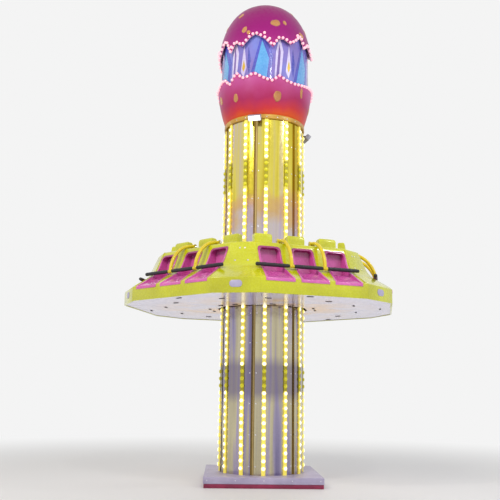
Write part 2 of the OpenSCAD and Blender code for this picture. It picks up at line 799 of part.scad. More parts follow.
module bar_pivots() {
    gap = hub_w / 2 + hub_play;
    pin_x = gap + ear_t + pin_end;
    color("#9A9AA2") for (k = [0 : sides - 1], s = [-1, 1])
        facing(gondola_turn + k * side_angle) translate([s * arm_x, 0, 0]) {
            for (x = [gap, -gap - ear_t]) {
                translate([x, pivot_u - ear_w / 2, back_top]) cube([ear_t, ear_w, pivot_h]);
                crossbar(ear_w, x, x + ear_t, pivot_u, pivot_z);
            }
            crossbar(pin_d, -pin_x, pin_x, pivot_u, pivot_z);
        }
}

base_plinth();
base_kick_strip();
column_mast();
guide_rails();
mirror_panels();
lamp_strips();
column_head();
floodlights();
egg_lower_shell();
egg_band();
egg_upper_shell();
lift_frame();
guide_shoes();
slew_ring();
hub_frame();
underside_panels();
underside_latches();
top_deck();
corner_pylons();
corner_badges();
bar_pivots();
bench(0);  // bench_1
bench(1);  // bench_2
bench(2);  // bench_3
bench(3);  // bench_4
bench(4);  // bench_5
bench(5);  // bench_6
seats(0);  // seats_1
seats(1);  // seats_2
seats(2);  // seats_3
seats(3);  // seats_4
seats(4);  // seats_5
seats(5);  // seats_6
bar_arms(0);  // bar_arms_1
bar_arms(1);  // bar_arms_2
bar_arms(2);  // bar_arms_3
bar_arms(3);  // bar_arms_4
bar_arms(4);  // bar_arms_5
bar_arms(5);  // bar_arms_6
bar_pad(0);  // bar_pad_1
bar_pad(1);  // bar_pad_2
bar_pad(2);  // bar_pad_3
bar_pad(3);  // bar_pad_4
bar_pad(4);  // bar_pad_5
bar_pad(5);  // bar_pad_6
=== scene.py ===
import json
import math
import random

import bmesh
import bpy
from mathutils import Matrix, Vector
from mathutils.bvhtree import BVHTree


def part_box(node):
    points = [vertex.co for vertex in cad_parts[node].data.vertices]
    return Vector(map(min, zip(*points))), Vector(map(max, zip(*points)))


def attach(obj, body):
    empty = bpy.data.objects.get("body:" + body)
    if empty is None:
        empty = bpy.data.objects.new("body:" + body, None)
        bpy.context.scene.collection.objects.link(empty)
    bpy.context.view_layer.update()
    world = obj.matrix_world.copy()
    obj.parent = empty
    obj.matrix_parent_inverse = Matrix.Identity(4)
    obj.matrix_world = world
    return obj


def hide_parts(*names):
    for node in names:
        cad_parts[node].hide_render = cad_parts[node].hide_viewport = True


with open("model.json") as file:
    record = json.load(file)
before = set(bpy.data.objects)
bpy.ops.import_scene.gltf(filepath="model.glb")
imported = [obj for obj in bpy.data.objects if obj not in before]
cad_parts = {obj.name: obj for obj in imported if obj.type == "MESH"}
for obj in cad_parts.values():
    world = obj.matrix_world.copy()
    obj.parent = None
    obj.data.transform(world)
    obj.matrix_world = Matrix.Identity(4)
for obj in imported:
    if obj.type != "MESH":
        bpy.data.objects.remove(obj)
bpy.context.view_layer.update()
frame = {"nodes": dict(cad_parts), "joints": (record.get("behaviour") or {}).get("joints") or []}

print("frame loaded:", len(frame["nodes"]), "nodes")

fullTurn = 2 * math.pi
sides = 6
barJoint = frame["joints"][2]  # a lap bar's pivot axis shows how far the gondola is turned
gondolaTurn = math.atan2(-barJoint["axis"][1], -barJoint["axis"][0])
farOut = 4  # metres from the axis, where rays start outside the ride
sideTurns = [gondolaTurn + k * fullTurn / sides for k in range(sides)]
cornerTurns = [turn + fullTurn / sides / 2 for turn in sideTurns]


# Placing and shaping: small helpers

def facing(angle):  # turns what is modelled facing +Y towards an angle from the front
    return Matrix.Rotation(math.pi + angle, 4, "Z")


def pickOnly(piece):
    bpy.ops.object.select_all(action="DESELECT")
    piece.select_set(True)
    bpy.context.view_layer.objects.active = piece


def applyPlace(piece):  # the place goes into the mesh, and the object stays at the origin
    pickOnly(piece)
    bpy.ops.object.transform_apply(location=True, rotation=True, scale=True)
    return piece


def selectFaces(piece, test):  # in edit mode, selects the faces that pass the test
    bpy.ops.object.mode_set(mode="OBJECT")
    for face in piece.data.polygons:
        face.select = test(face)
    for edge in piece.data.edges:
        edge.select = False
    for point in piece.data.vertices:
        point.select = False
    bpy.ops.object.mode_set(mode="EDIT")
    bpy.ops.mesh.select_mode(type="FACE")


def bevelEdges(piece, width, segments=2, angle=30):
    pickOnly(piece)
    rounding = piece.modifiers.new("rounding", "BEVEL")
    rounding.width = width
    rounding.segments = segments
    rounding.limit_method = "ANGLE"
    rounding.angle_limit = math.radians(angle)
    bpy.ops.object.modifier_apply(modifier=rounding.name)


def smoothShade(piece, angle=35):
    pickOnly(piece)
    bpy.ops.object.shade_smooth_by_angle(angle=math.radians(angle))


def placedCopy(master, place, name):
    copy = master.copy()
    copy.data = master.data.copy()
    copy.data.transform(place)
    copy.name = name
    copy.data.name = name
    bpy.context.scene.collection.objects.link(copy)
    return copy


def joinPieces(pieces, name):
    bpy.ops.object.select_all(action="DESELECT")
    for piece in pieces:
        piece.select_set(True)
    bpy.context.view_layer.objects.active = pieces[0]
    if len(pieces) > 1:
        bpy.ops.object.join()
    pieces[0].name = name
    pieces[0].data.name = name
    return pieces[0]


def stampCopies(master, places, name):  # one joined piece from copies of a master, which goes
    joined = joinPieces([placedCopy(master, place, name) for place in places], name)
    bpy.data.objects.remove(master)
    return joined


def weldedCopy(nodeName, pieceName, flatAngle=1.5):  # a CAD node as one welded mesh, its flat faces joined
    piece = frame["nodes"][nodeName].copy()
    piece.data = piece.data.copy()
    piece.name = pieceName
    piece.data.name = pieceName
    piece.parent = None
    for key in list(piece.keys()):
        del piece[key]
    bpy.context.scene.collection.objects.link(piece)
    piece.data.materials.clear()
    pickOnly(piece)
    bpy.ops.object.mode_set(mode="EDIT")
    bpy.ops.mesh.select_all(action="SELECT")
    bpy.ops.mesh.remove_doubles(threshold=0.00005)
    if flatAngle:
        bpy.ops.mesh.dissolve_limited(angle_limit=math.radians(flatAngle))
    bpy.ops.object.mode_set(mode="OBJECT")
    return piece


def softenedCopy(nodeName, pieceName, width, segments=2, flatAngle=1.5):  # the same with its edges rounded
    piece = weldedCopy(nodeName, pieceName, flatAngle)
    bevelEdges(piece, width, segments)
    smoothShade(piece)
    return piece


def ridePiece(piece, body, slotName, finish, *nodes):
    if not piece.data.materials:
        piece.data.materials.append(finish)
    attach(piece, body)
    if nodes:
        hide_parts(*nodes)
    return piece


def nodeTree(nodeName):  # a node's faces, to find places on them with rays
    shape = bmesh.new()
    shape.from_mesh(frame["nodes"][nodeName].data)
    tree = BVHTree.FromBMesh(shape)
    shape.free()
    return tree


def onFace(tree, turn, x, z, sink=0.0):  # a place on the face that one sees at x and z from the given side
    start = facing(turn) @ Vector((x, farOut, z))
    point, normal = tree.ray_cast(start, facing(turn).to_3x3() @ Vector((0, -1, 0)))[:2]
    return Matrix.Translation(point - normal * sink) @ normal.to_track_quat("Z", "Y").to_matrix().to_4x4()


# Finishes: one small function adds a node, and each finish is named for what it is

def srgb(hexCode):  # "#RRGGBB" as linear colour
    parts = [int(hexCode[i:i + 2], 16) / 255 for i in (1, 3, 5)]
    return tuple(p / 12.92 if p <= 0.04045 else ((p + 0.055) / 1.055) ** 2.4 for p in parts) + (1,)


def addNode(finish, kind, inputs=None, stops=None, **settings):
    node = finish.node_tree.nodes.new("ShaderNode" + kind)
    for key, value in settings.items():
        setattr(node, key, value)
    for socket, value in (inputs or {}).items():
        if isinstance(value, bpy.types.NodeSocket):
            finish.node_tree.links.new(value, node.inputs[socket])
        else:
            node.inputs[socket].default_value = value
    for i, (position, colour) in enumerate(stops or []):
        element = node.color_ramp.elements[i] if i < 2 else node.color_ramp.elements.new(position)
        element.position = position
        element.color = srgb(colour)
    return node


def newFinish(name, **values):
    finish = bpy.data.materials.new(name)
    finish.use_nodes = True
    shader = finish.node_tree.nodes["Principled BSDF"]
    for socket, value in values.items():
        shader.inputs[socket.replace("_", " ")].default_value = value
    return finish, shader


def ownPlace(finish, scale=(1, 1, 1)):  # object coordinates, in metres
    place = addNode(finish, "TexCoord")
    return addNode(finish, "Mapping", {"Vector": place.outputs["Object"], "Scale": scale}).outputs[0]


def heightShare(finish, low, high, drift=0.0):  # 0 to 1 between two heights, wandering a little
    place = ownPlace(finish)
    height = addNode(finish, "SeparateXYZ", {"Vector": place})
    cloud = addNode(finish, "TexNoise", {"Vector": place, "Scale": 2.6, "Detail": 3})  # 400 mm
    moved = addNode(finish, "Math", {0: cloud.outputs["Fac"], 1: drift}, operation="MULTIPLY")
    level = addNode(finish, "Math", {0: height.outputs["Z"], 1: moved.outputs[0]}, operation="ADD")
    return addNode(finish, "MapRange", {"Value": level.outputs[0], "From Min": low,
                                        "From Max": high}).outputs["Result"]


def gelcoat(name, pale, deep, roughness=0.2):
    # moulded fibreglass with a sprayed gelcoat: clear gloss over faint orange peel, dull where it is rubbed.
    # Tones drift over 450 mm, scuffs are 40 mm across, and the peel is drawn 6 mm wide to show.
    finish, shader = newFinish(name, IOR=1.5, Coat_Weight=0.6, Coat_Roughness=0.05, Coat_IOR=1.5)
    link = finish.node_tree.links.new
    place = ownPlace(finish)
    cloud = addNode(finish, "TexNoise", {"Vector": place, "Scale": 2.2, "Detail": 4, "Roughness": 0.55})
    tone = addNode(finish, "ValToRGB", {"Fac": cloud.outputs["Fac"]}, [(0.32, deep), (0.68, pale)])
    link(tone.outputs["Color"], shader.inputs["Base Color"])
    scuffs = addNode(finish, "TexNoise", {"Vector": place, "Scale": 26, "Detail": 6, "Roughness": 0.7})
    dull = addNode(finish, "MapRange", {"Value": scuffs.outputs["Fac"], "From Min": 0.4, "From Max": 0.75,
                                        "To Min": roughness, "To Max": roughness + 0.2})
    link(dull.outputs["Result"], shader.inputs["Roughness"])
    peel = addNode(finish, "TexNoise", {"Vector": place, "Scale": 160, "Detail": 2})
    bump = addNode(finish, "Bump", {"Height": peel.outputs["Fac"], "Strength": 0.05, "Distance": 0.002})
    link(bump.outputs["Normal"], shader.inputs["Normal"])
    return finish


def paintedSteel(name, pale, deep, roughness=0.38, metallic=0.0):
    # stove enamel on sheet steel: even satin with dull patches 14 mm across, in tones that drift over 280 mm
    finish, shader = newFinish(name, IOR=1.5, Metallic=metallic, Coat_Weight=0.15, Coat_Roughness=0.2)
    link = finish.node_tree.links.new
    place = ownPlace(finish)
    cloud = addNode(finish, "TexNoise", {"Vector": place, "Scale": 3.5, "Detail": 5, "Roughness": 0.6})
    tone = addNode(finish, "ValToRGB", {"Fac": cloud.outputs["Fac"]}, [(0.32, deep), (0.68, pale)])
    link(tone.outputs["Color"], shader.inputs["Base Color"])
    fine = addNode(finish, "TexNoise", {"Vector": place, "Scale": 70, "Detail": 6, "Roughness": 0.75})
    dull = addNode(finish, "MapRange", {"Value": fine.outputs["Fac"], "From Min": 0.35, "From Max": 0.7,
                                        "To Min": roughness, "To Max": roughness + 0.18})
    link(dull.outputs["Result"], shader.inputs["Roughness"])
    bump = addNode(finish, "Bump", {"Height": fine.outputs["Fac"], "Strength": 0.06, "Distance": 0.001})
    link(bump.outputs["Normal"], shader.inputs["Normal"])
    return finish


def slotSteelWithPaintedGlow(name, pale, deep, paintedGlowTint):
    # paint inside the slots, with a painted glow of the lamps on both sides of each slot, stronger above the
    # gondola
    finish = paintedSteel(name, pale, deep, 0.5)
    shader = finish.node_tree.nodes["Principled BSDF"]
    # painted lamp glow: emission that rises with height
    paintedGlowStrength = addNode(finish, "MapRange", {"Value": heightShare(finish, 3.4, 4.4),
                                          "To Min": 0.34, "To Max": 0.6})
    shader.inputs["Emission Color"].default_value = srgb(paintedGlowTint)
    finish.node_tree.links.new(paintedGlowStrength.outputs["Result"], shader.inputs["Emission Strength"])
    return finish


def bucketGelcoat():
    # the pink seat shells: the same gelcoat, with painted shade in the hollow under the recess's upper edge
    finish = gelcoat("pink bucket gelcoat with painted shade", "#DA68B2", "#C4529E", 0.18)
    shader = finish.node_tree.nodes["Principled BSDF"]
    low, high = (corner.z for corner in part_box("seats_1"))
    share = heightShare(finish, low, high, 0.02)
    # painted shade, darkest at the top of the hollow
    paintedShade = addNode(finish, "ValToRGB", {"Fac": share},
                     [(0.0, "#FFFFFF"), (0.8, "#F8E0F0"), (0.9, "#CC88B4"), (1.0, "#B4689C")])
    base = shader.inputs["Base Color"].links[0].from_socket
    mixed = addNode(finish, "Mix", {0: 1.0, 6: base, 7: paintedShade.outputs["Color"]},
                    data_type="RGBA", blend_type="MULTIPLY")
    finish.node_tree.links.new(mixed.outputs[2], shader.inputs["Base Color"])
    return finish


def mirrorSteel():
    # mirror-polished stainless in streaks of painted reflection: khaki and lavender low down, paler lavender
    # just above the gondola, then an orange edge and lamp gold. Painted shade darkens it beside the lower
    # group of resting lamps.
    # Streaks are 180 mm wide and 4.5 m long, smears 70 mm across, and the sheet waves over 200 mm.
    finish, shader = newFinish("mirror polished stainless with painted reflections", Metallic=1.0)
    link = finish.node_tree.links.new
    streak = addNode(finish, "TexNoise", {"Vector": ownPlace(finish, (5.5, 5.5, 0.22)),
                                          "Scale": 1, "Detail": 2})
    lowReflections = addNode(finish, "ValToRGB", {"Fac": streak.outputs["Fac"]},
                       [(0.34, "#80789A"), (0.66, "#ACA2BA"), (0.43, "#A198B0"),
                        (0.49, "#B8AF94"), (0.58, "#C8BF9E")])
    # painted reflection of the lamps' gold higher up
    lampGoldReflections = addNode(finish, "ValToRGB", {"Fac": streak.outputs["Fac"]},
                        [(0.34, "#C4AC34"), (0.68, "#CDBFC8"), (0.44, "#DAC644"),
                         (0.52, "#E8D85E"), (0.59, "#DCCB86")])
    share = heightShare(finish, 4.0, 6.25, 0.9)
    lampReflectionShare = addNode(finish, "ValToRGB", {"Fac": share}, [(0.54, "#000000"), (0.70, "#FFFFFF")])
    mixed = addNode(finish, "Mix", {0: lampReflectionShare.outputs["Color"], 6: lowReflections.outputs["Color"],
                                    7: lampGoldReflections.outputs["Color"]}, data_type="RGBA")
    # painted orange reflection at the lower edge of the gold
    orangeReflection = addNode(finish, "ValToRGB", {"Fac": share}, [(0.42, "#D6C8D8"), (0.54, "#E8B060")])
    orangeReflectionShare = addNode(finish, "ValToRGB", {"Fac": share},
                        [(0.05, "#000000"), (0.74, "#000000"), (0.12, "#C4C4C4"), (0.62, "#C4C4C4")])
    withOrangeReflection = addNode(finish, "Mix", {0: orangeReflectionShare.outputs["Color"], 6: mixed.outputs[2],
                                   7: orangeReflection.outputs["Color"]}, data_type="RGBA")
    low, high = (corner.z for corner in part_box("mirror_panels"))
    near, far = ((z - low) / (high - low) for z in restingBands[0])
    # painted shade beside the lower group of resting lamps
    paintedShadeStops = [(0.0, "#000000"), (1.0, "#000000"), (near - 0.03, "#000000"), (near, "#DADADA"),
                (far, "#DADADA"), (far + 0.03, "#000000")]
    paintedShadeShare = addNode(finish, "ValToRGB", {"Fac": heightShare(finish, low, high, 0.06)}, paintedShadeStops)
    colour = addNode(finish, "Mix", {0: paintedShadeShare.outputs["Color"], 6: withOrangeReflection.outputs[2],
                                     7: srgb("#766C88")}, data_type="RGBA")
    link(colour.outputs[2], shader.inputs["Base Color"])
    smears = addNode(finish, "TexNoise", {"Vector": ownPlace(finish), "Scale": 14, "Detail": 5,
                                          "Roughness": 0.65})
    dull = addNode(finish, "MapRange", {"Value": smears.outputs["Fac"], "From Min": 0.4, "From Max": 0.75,
                                        "To Min": 0.12, "To Max": 0.24})
    link(dull.outputs["Result"], shader.inputs["Roughness"])
    wave = addNode(finish, "TexNoise", {"Vector": ownPlace(finish, (5, 5, 1.4)), "Scale": 1, "Detail": 1})
    bump = addNode(finish, "Bump", {"Height": wave.outputs["Fac"], "Strength": 0.25, "Distance": 0.02})
    link(bump.outputs["Normal"], shader.inputs["Normal"])
    return finish


def lampLens(name, colour, glow, strength):
    # moulded acrylic with a bulb behind, faintly ribbed inside, 11 mm apart, which hides the bulb's shape
    finish, shader = newFinish(name, Base_Color=srgb(colour), Roughness=0.18, IOR=1.49, Coat_Weight=0.4,
                               Emission_Color=srgb(glow), Emission_Strength=strength)
    rib = addNode(finish, "TexNoise", {"Vector": ownPlace(finish, (90, 90, 90)), "Scale": 1, "Detail": 1})
    bump = addNode(finish, "Bump", {"Height": rib.outputs["Fac"], "Strength": 0.2, "Distance": 0.003})
    finish.node_tree.links.new(bump.outputs["Normal"], shader.inputs["Normal"])
    return finish


def channelEnamel():
    # the lamps' aluminium channels, enamelled yellow, with a painted glow of their own lamps and painted
    # shade where these rest
    finish, shader = newFinish("lamp channel enamel with painted glow", Roughness=0.35, IOR=1.5)
    link = finish.node_tree.links.new
    low, high = (corner.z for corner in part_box("lamp_strips"))
    # painted glow of the lamps, with painted shade where they rest
    glowAndShadeStops = [(0.0, "#E2D25A"), (1.0, "#E2D25A")]
    for foot, top in restingBands:
        near, far = (foot - low) / (high - low), (top - low) / (high - low)
        glowAndShadeStops += [(near - 0.01, "#E2D25A"), (near, "#8E8410"),
                        (far, "#8E8410"), (far + 0.01, "#E2D25A")]
    flooded = addNode(finish, "ValToRGB", {"Fac": heightShare(finish, low, high)}, glowAndShadeStops)
    link(flooded.outputs["Color"], shader.inputs["Base Color"])
    link(flooded.outputs["Color"], shader.inputs["Emission Color"])
    shader.inputs["Emission Strength"].default_value = 0.4
    return finish


def eggPaint():
    # two-pack gloss over fibreglass, airbrushed magenta on the dome, fading at the collar into a painted
    # orange glow of the floodlights
    finish, shader = newFinish("airbrushed egg gloss with painted flood glow", IOR=1.4, Specular_IOR_Level=0.3, Coat_Weight=0.08,
                               Coat_Roughness=0.08, Roughness=0.4)
    link = finish.node_tree.links.new
    # magenta airbrush, turning lower down into a painted orange glow of the floodlights
    fadeAndFloodGlow = addNode(finish, "ValToRGB", {"Fac": heightShare(finish, 6.75, 9.3, 0.3)},
                   [(0.0, "#D0501A"), (1.0, "#7C0854"), (0.05, "#C03236"), (0.12, "#A02656"),
                    (0.27, "#B44E8C"), (0.5, "#9C2878"), (0.66, "#8C126A")])
    link(fadeAndFloodGlow.outputs["Color"], shader.inputs["Base Color"])
    # orange peel, drawn 25 mm wide to show
    peel = addNode(finish, "TexNoise", {"Vector": ownPlace(finish), "Scale": 40, "Detail": 3})
    bump = addNode(finish, "Bump", {"Height": peel.outputs["Fac"], "Strength": 0.08, "Distance": 0.004})
    link(bump.outputs["Normal"], shader.inputs["Normal"])
    return finish


def undersideEnamel():
    # white enamel under the gondola, with a painted warm glow of the column's lamps in patches 770 mm across,
    # most of all beside the column
    finish = paintedSteel("underside white enamel with painted glow", "#D9D2EA", "#C7BDDC", 0.1)
    shader = finish.node_tree.nodes["Principled BSDF"]
    base = shader.inputs["Base Color"].links[0].from_socket
    # painted warm glow of the column's lamps, strongest beside the column
    across = addNode(finish, "VectorMath", {0: ownPlace(finish, (1, 1, 0))}, operation="LENGTH")
    beside = addNode(finish, "MapRange", {"Value": across.outputs["Value"], "From Min": 0.9, "From Max": 2.2,
                                          "To Min": 1.0, "To Max": 0.0})
    cloud = addNode(finish, "TexNoise", {"Vector": ownPlace(finish, (1.3, 1.3, 0)), "Scale": 1, "Detail": 2})
    patch = addNode(finish, "MapRange", {"Value": cloud.outputs["Fac"], "From Min": 0.4, "From Max": 0.6})
    share = addNode(finish, "Math", {0: beside.outputs["Result"], 1: patch.outputs["Result"]},
                    operation="MULTIPLY")
    tint = addNode(finish, "Mix", {0: share.outputs[0], 6: base, 7: srgb("#F0B45C")}, data_type="RGBA")
    finish.node_tree.links.new(tint.outputs[2], shader.inputs["Base Color"])
    return finish


def treadDeck():
    # grey non-slip deck sheet: raised lozenges every 30 mm and trodden dull patches
    finish = paintedSteel("non-slip deck sheet", "#8E8C94", "#76747C", 0.5)
    shader = finish.node_tree.nodes["Principled BSDF"]
    lozenges = addNode(finish, "TexVoronoi", {"Vector": ownPlace(finish, (33, 33, 33)), "Scale": 1,
                                              "Randomness": 0.0})
    raised = addNode(finish, "Bump", {"Height": lozenges.outputs["Distance"], "Strength": 0.5,
                                      "Distance": 0.003})
    finish.node_tree.links.new(raised.outputs["Normal"], shader.inputs["Normal"])
    return finish


restingBands = [(1.58, 2.02), (5.28, 5.72)]  # heights at which the chase has switched the lamps off
limeGelcoat = gelcoat("lime gelcoat", "#C8CA06", "#B6B604")
bucketPinkAndShade = bucketGelcoat()
mirror = mirrorSteel()
mastPrimerAndGlow = slotSteelWithPaintedGlow("olive mast primer with painted glow", "#7E7458", "#5E563F", "#8C7C54")
railPaintAndGlow = slotSteelWithPaintedGlow("bronze rail paint with painted glow", "#A88E5C", "#86703F", "#BCA468")
plinthPaint = paintedSteel("lavender plinth enamel", "#B4ABC4", "#9D94AF", 0.4)
kickPaint = paintedSteel("crimson kick enamel", "#96264C", "#74183A", 0.42)
channelEnamelAndGlow = channelEnamel()
collarPaint = paintedSteel("gold collar enamel", "#C89A34", "#A67C28", 0.35)
panelEnamelAndGlow = undersideEnamel()
deckSheet = treadDeck()
framePaint = paintedSteel("carriage enamel", "#4A4850", "#38363E", 0.4)
bearingSteel = paintedSteel("machined bearing steel", "#A6A6AE", "#8C8C94", 0.3, 1.0)
zincSteel = paintedSteel("bright zinc fasteners", "#E4E2E8", "#CFCDD6", 0.22, 1.0)
armPaint = paintedSteel("golden powder coat", "#E2CC1E", "#D2B812", 0.22)
badgePlate = paintedSteel("blank badge plate", "#B8B2CC", "#A49CC0", 0.35, 0.4)
latchNylon = paintedSteel("black latch nylon", "#1C1B1F", "#121114", 0.45)
housingPaint = paintedSteel("floodlight housing enamel", "#9C9AA6", "#84828E", 0.35)
litLens = lampLens("lit lamp lens", "#F8E070", "#FCE468", 0.9)
litCore = lampLens("lit lamp core", "#FFFDE8", "#FFFACC", 1.3)
# the resting lamps are switched off: their faint glow is painted
restingLens = lampLens("resting lamp lens with painted glow", "#C8C010", "#C4BC18", 0.3)
rimGlobe = lampLens("pink white globe", "#DC9CAC", "#FFC8CC", 0.62)
floodFace = lampLens("floodlight lens", "#FFFFFF", "#FFFFFF", 1.8)
eggGloss = eggPaint()
shellLining = gelcoat("pale shell lining", "#E8B4C4", "#D89AAC", 0.4)
bandPaint = gelcoat("periwinkle band gloss", "#6C78C8", "#7460AC", 0.35)
spotPaint = gelcoat("orange tan spot gloss", "#CC9650", "#A06430", 0.35)
foamVinyl = paintedSteel("black foam vinyl", "#211E24", "#151318", 0.5)
print("finishes made")


# CAD nodes that stay as they are take a finish

plainNodes = {
    "column_mast": mastPrimerAndGlow, "guide_rails": railPaintAndGlow, "mirror_panels": mirror, "lamp_strips": channelEnamelAndGlow,
    "lift_frame": framePaint, "guide_shoes": latchNylon, "slew_ring": bearingSteel, "hub_frame": framePaint,
    "top_deck": deckSheet, "bar_pivots": armPaint, "underside_panels": panelEnamelAndGlow, "egg_band": bandPaint,
}
for name, finish in plainNodes.items():
    for place in frame["nodes"][name].material_slots:
        place.material = finish


# Mouldings: the bench, seats, pylons and arms with the radii that a mould leaves

moulding = {"benchEdge": 0.009, "seatEdge": 0.0027, "armEdge": 0.002, "pylonEdge": 0.009,
            "badgeEdge": 0.002, "latchEdge": 0.004, "plinthEdge": 0.006, "kickEdge": 0.003,
            "collarEdge": 0.008, "housingEdge": 0.005}


def turnedSet(master, names, bodies, slotName, finish, nodes):  # one master on each side of the gondola
    for k in range(sides):
        piece = placedCopy(master, Matrix.Rotation(k * fullTurn / sides, 4, "Z"), names % (k + 1))
        ridePiece(piece, bodies % (k + 1) if "%" in bodies else bodies, slotName, finish, nodes % (k + 1))
    bpy.data.objects.remove(master)


benchMaster = softenedCopy("bench_1", "benchMaster", moulding["benchEdge"], 3)
turnedSet(benchMaster, "moulded_bench_%d", "gondola", "yellow_moulding", limeGelcoat, "bench_%d")
seatMaster = softenedCopy("seats_1", "seatMaster", moulding["seatEdge"], 2)
turnedSet(seatMaster, "bucket_shells_%d", "gondola", "pink_shell", bucketPinkAndShade, "seats_%d")
armMaster = softenedCopy("bar_arms_1", "armMaster", moulding["armEdge"], 1)
turnedSet(armMaster, "curved_arms_%d", "lap_bar_%d", "arm_yellow", armPaint, "bar_arms_%d")
pylons = softenedCopy("corner_pylons", "flared_pylons", moulding["pylonEdge"], 3)
ridePiece(pylons, "gondola", "yellow_moulding", limeGelcoat, "corner_pylons")
badges = softenedCopy("corner_badges", "blank_badges", moulding["badgeEdge"])
ridePiece(badges, "gondola", "badge_metal", badgePlate, "corner_badges")
latches = softenedCopy("underside_latches", "latch_bodies", moulding["latchEdge"])
ridePiece(latches, "gondola", "latch_black", latchNylon, "underside_latches")
plinth = softenedCopy("base_plinth", "plinth_cover", moulding["plinthEdge"], 3)
ridePiece(plinth, "tower", "plinth_paint", plinthPaint, "base_plinth")
kick = softenedCopy("base_kick_strip", "kick_bars", moulding["kickEdge"])
ridePiece(kick, "tower", "kick_paint", kickPaint, "base_kick_strip")
collar = softenedCopy("column_head", "column_collar", moulding["collarEdge"], 3)
ridePiece(collar, "tower", "head_paint", collarPaint, "column_head")
print("mouldings rounded")


# Egg: both shells take gloss outside and pale lining on their inner and broken faces

# the middle is a height, and a face that turns away from it by more than glossFrom counts as outside
egg = {"shellEdge": 0.002, "middle": 7.6, "glossFrom": 0.3}


def dressShell(nodeName, pieceName):
    shell = softenedCopy(nodeName, pieceName, egg["shellEdge"], 1, 0.3)
    shell.data.materials.append(eggGloss)
    shell.data.materials.append(shellLining)
    middle = Vector((0, 0, egg["middle"]))
    for face in shell.data.polygons:
        outward = face.normal.dot((face.center - middle).normalized())
        face.material_index = 0 if outward > egg["glossFrom"] else 1
    return ridePiece(shell, "tower", "egg_gloss", eggGloss, nodeName)


dressShell("egg_upper_shell", "cracked_dome")
dressShell("egg_lower_shell", "cracked_bowl")
upperTree, lowerTree = nodeTree("egg_upper_shell"), nodeTree("egg_lower_shell")


def shellRadius(tree, angle, z, reach=1.2):  # outside radius of a shell, or None where it isn't
    ahead = Vector((math.sin(angle), -math.cos(angle), 0))
    hit = tree.ray_cast(ahead * reach + Vector((0, 0, z)), -ahead, reach - 0.5)[0]
    return None if hit is None else math.hypot(hit.x, hit.y)


def rimHeight(tree, angle, solid, gone):  # the height at which a shell ends, between two heights
    for _ in range(14):
        middle = (solid + gone) / 2
        if shellRadius(tree, angle, middle) is None:
            gone = middle
        else:
            solid = middle
    return solid


# Raised spots

spot = {"around": 20, "stand": 0.007, "sunk": 0.001, "step": 0.02, "margin": 0.04, "places": [
    # each: direction in degrees from the front, height, the oval's width and height, and its tilt in degrees
    (10, 8.40, 0.20, 0.15, 5), (23, 8.44, 0.07, 0.11, 20), (-43, 8.68, 0.13, 0.09, 35),
    (-30, 8.28, 0.10, 0.15, -15), (-24, 8.20, 0.07, 0.10, 20), (50, 8.16, 0.15, 0.08, -20),
    (78, 8.56, 0.17, 0.12, 15), (112, 8.32, 0.10, 0.14, -10), (148, 8.66, 0.15, 0.10, 25),
    (178, 8.30, 0.18, 0.13, -5), (-150, 8.60, 0.10, 0.15, 10), (-112, 8.34, 0.16, 0.12, -25),
    (-80, 8.60, 0.11, 0.10, 0), (60, 8.88, 0.12, 0.08, 30), (-120, 8.90, 0.12, 0.09, -15),
    (13, 6.93, 0.15, 0.20, 5), (-42, 6.95, 0.10, 0.17, -10), (48, 7.14, 0.07, 0.20, 5),
    (-75, 7.05, 0.13, 0.17, 15), (82, 6.92, 0.13, 0.16, -20), (118, 7.10, 0.11, 0.15, 10),
    (155, 6.94, 0.15, 0.18, -5), (-165, 7.06, 0.10, 0.13, 25), (-125, 6.92, 0.14, 0.17, 0),
    (-100, 7.16, 0.07, 0.14, 30)]}


def modelSpot(width, height, tilt, seed):  # an oval with a puckered rim and a sunken, ridged middle
    bpy.ops.object.select_all(action="DESELECT")
    bpy.ops.mesh.primitive_circle_add(vertices=spot["around"], radius=0.5, fill_type="NGON")
    piece = bpy.context.object
    bpy.ops.object.mode_set(mode="EDIT")
    for thickness, rise in ((0.02, 1.0), (0.07, 0.25), (0.05, -0.75), (0.1, 0.3), (0.1, -0.35)):
        bpy.ops.mesh.select_all(action="DESELECT")
        selectFaces(piece, lambda face: len(face.vertices) == spot["around"])
        bpy.ops.mesh.inset(thickness=thickness, depth=0)
        bpy.ops.transform.translate(value=(0, 0, spot["stand"] * rise))
    bpy.ops.mesh.poke()
    bpy.ops.object.mode_set(mode="OBJECT")
    wander = random.Random(seed)
    phases = [wander.uniform(0, fullTurn) for _ in range(3)]
    for point in piece.data.vertices:
        angle = math.atan2(point.co.y, point.co.x)
        ragged = 1 + sum(0.045 * math.sin(n * angle + phase) for n, phase in zip((2, 3, 5), phases))
        point.co.x *= width * ragged
        point.co.y *= height * ragged
    piece.data.transform(Matrix.Rotation(math.radians(tilt), 4, "Z"))
    smoothShade(piece, 60)
    return piece


def layOnShell(piece, tree, turn, z):  # bends a flat piece onto a shell, keeping each point's height above it
    outside = Vector((math.sin(turn), -math.cos(turn), 0))
    width, height = piece.dimensions.x, piece.dimensions.y
    # a spot moves away from the ragged rim until it lies on the shell all round
    away = spot["step"] if z > egg["middle"] else -spot["step"]
    margin = math.copysign(height / 2 + spot["margin"], away)
    while any(shellRadius(tree, turn + side * width / 1.8, z - margin) is None for side in (-1, 0, 1)):
        z += away
    centre, lean = tree.ray_cast(outside * 1.3 + Vector((0, 0, z)), -outside)[:2]
    across = Vector((0, 0, 1)).cross(lean).normalized()
    up = lean.cross(across)
    for point in piece.data.vertices:
        flat = centre + across * point.co.x + up * point.co.y
        seat, normal = tree.find_nearest(flat)[:2]
        point.co = seat + lean * (point.co.z - spot["sunk"])


for upper in (True, False):
    tree = upperTree if upper else lowerTree
    pieces = []
    for i, (degrees, z, width, height, tilt) in enumerate(spot["places"]):
        if (z > egg["middle"]) == upper:
            pieces.append(modelSpot(width, height, tilt, i))
            layOnShell(pieces[-1], tree, math.radians(degrees), z)
    ridePiece(joinPieces(pieces, "dome_spots" if upper else "bowl_spots"), "tower", "egg_gloss", spotPaint)
print("egg shells and spots made")


# Shards on the band: cut sheet, wrapped round the drum, in a zigzag that repeats six times

